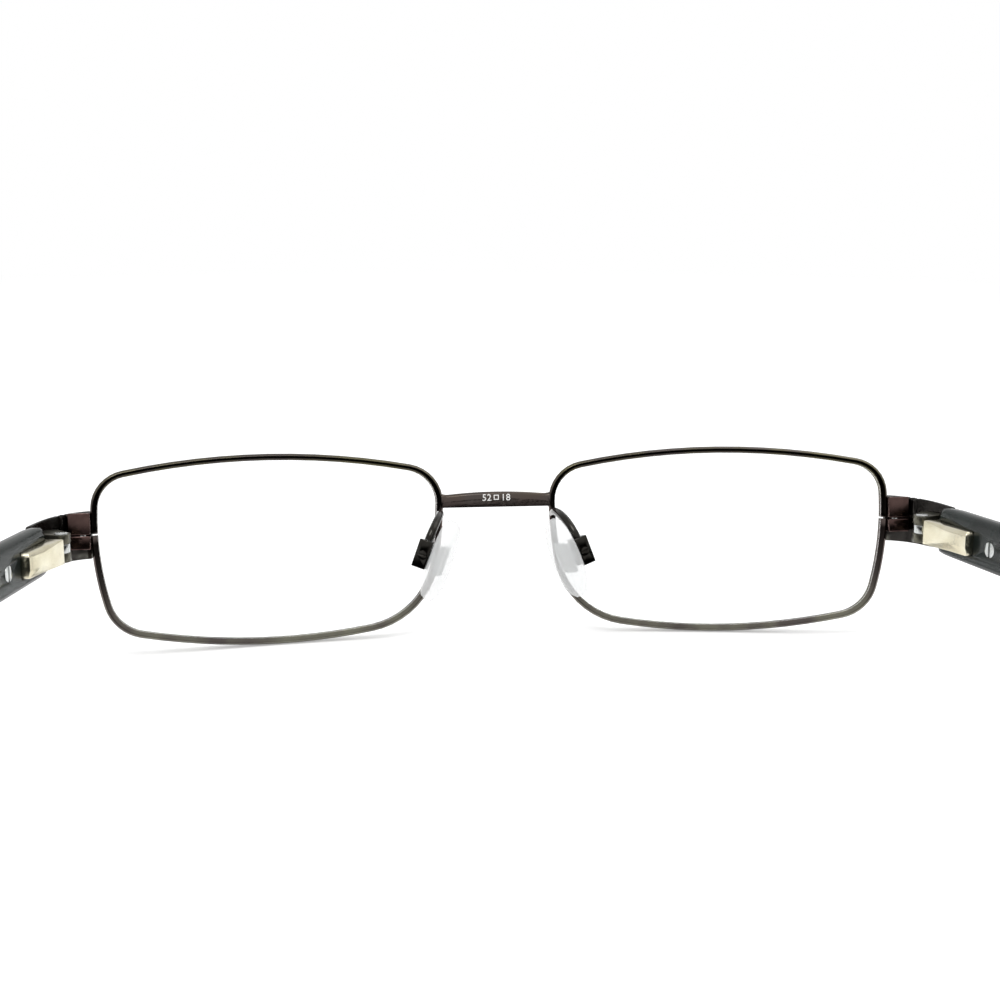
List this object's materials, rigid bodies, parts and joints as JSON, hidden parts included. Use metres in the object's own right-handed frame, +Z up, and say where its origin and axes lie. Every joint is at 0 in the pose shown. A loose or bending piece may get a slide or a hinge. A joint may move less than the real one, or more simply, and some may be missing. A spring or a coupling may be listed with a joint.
{
  "type": "rectangular eyeglasses",
  "caption": "Rectangular eyeglasses with thin full-rim metal fronts, wire-armed nose pads, spring hinges and curved plastic temples.",
  "frame": {"origin": "On the ground that the lower rims and the temple tips stand on, midway between the foremost and the rearmost point and midway between left and right.", "axes": "+X to the wearer's right, +Y forward, away from the wearer, +Z up."},
  "size_m": [0.1546, 0.1498, 0.0289],
  "materials": {
    "gunmetal": "gloss gunmetal plating",
    "brown_metal": "satin brown plating",
    "hinge_grey": "satin grey plating",
    "champagne_metal": "polished champagne plating",
    "bright_steel": "bright steel",
    "slate_acetate": "polished dark slate plastic",
    "lens": "clear polished plastic",
    "pad_plastic": "clear moulded plastic",
    "silicone": "clear soft silicone"
  },
  "bodies": {
    "front": {"bridge": "gunmetal", "lens_left": "lens", "eyewire_left": "gunmetal", "upper_closing_block_left": "brown_metal", "lower_closing_block_left": "brown_metal", "rim_lock_screw_left": "bright_steel", "endpiece_left": "gunmetal", "front_hinge_left": "hinge_grey", "hinge_screw_left": "bright_steel", "pad_arm_left": "gunmetal", "pad_box_left": "gunmetal", "pad_screw_left": "gunmetal", "lens_right": "lens", "eyewire_right": "gunmetal", "upper_closing_block_right": "brown_metal", "lower_closing_block_right": "brown_metal", "rim_lock_screw_right": "bright_steel", "endpiece_right": "gunmetal", "front_hinge_right": "hinge_grey", "hinge_screw_right": "bright_steel", "pad_arm_right": "gunmetal", "pad_box_right": "gunmetal", "pad_screw_right": "gunmetal"},
    "slider_left": {"slider_left": "bright_steel", "spring_left": "bright_steel"},
    "slider_right": {"slider_right": "bright_steel", "spring_right": "bright_steel"},
    "temple_left": {"temple_left": "slate_acetate", "temple_core_left": "bright_steel", "temple_screw_left": "bright_steel", "spring_casing_left": "champagne_metal"},
    "temple_right": {"temple_right": "slate_acetate", "temple_core_right": "bright_steel", "temple_screw_right": "bright_steel", "spring_casing_right": "champagne_metal"},
    "pad_left": {"pad_core_left": "pad_plastic", "nose_pad_left": "silicone"},
    "pad_right": {"pad_core_right": "pad_plastic", "nose_pad_right": "silicone"}
  },
  "joints": [
    {"name": "fold_left", "type": "hinge", "parent": "front", "child": "slider_left", "pos_m": [-0.0635, 0.05819, 0.01889], "axis": [0, 0.0669, 0.9978], "range_deg": [-6, 96]},
    {"name": "fold_right", "type": "hinge", "parent": "front", "child": "slider_right", "pos_m": [0.0635, 0.05819, 0.01889], "axis": [0, -0.0669, -0.9978], "range_deg": [-6, 91]},
    {"name": "spring_slide_left", "type": "slide", "parent": "slider_left", "child": "temple_left", "axis": [-0.1736, -0.9826, 0.0658], "range_m": [0, 0.001], "stiffness_N_per_m": 2000},
    {"name": "spring_slide_right", "type": "slide", "parent": "slider_right", "child": "temple_right", "axis": [0.1736, -0.9826, 0.0658], "range_m": [0, 0.001], "stiffness_N_per_m": 2000},
    {"name": "pad_rock_left", "type": "hinge", "parent": "front", "child": "pad_left", "pos_m": [-0.01176, 0.06073, 0.01577], "axis": [0.2273, 0.9302, -0.2881], "range_deg": [-6, 6]},
    {"name": "pad_rock_right", "type": "hinge", "parent": "front", "child": "pad_right", "pos_m": [0.01176, 0.06073, 0.01577], "axis": [-0.2273, 0.9302, -0.2881], "range_deg": [-6, 6]}
  ]
}
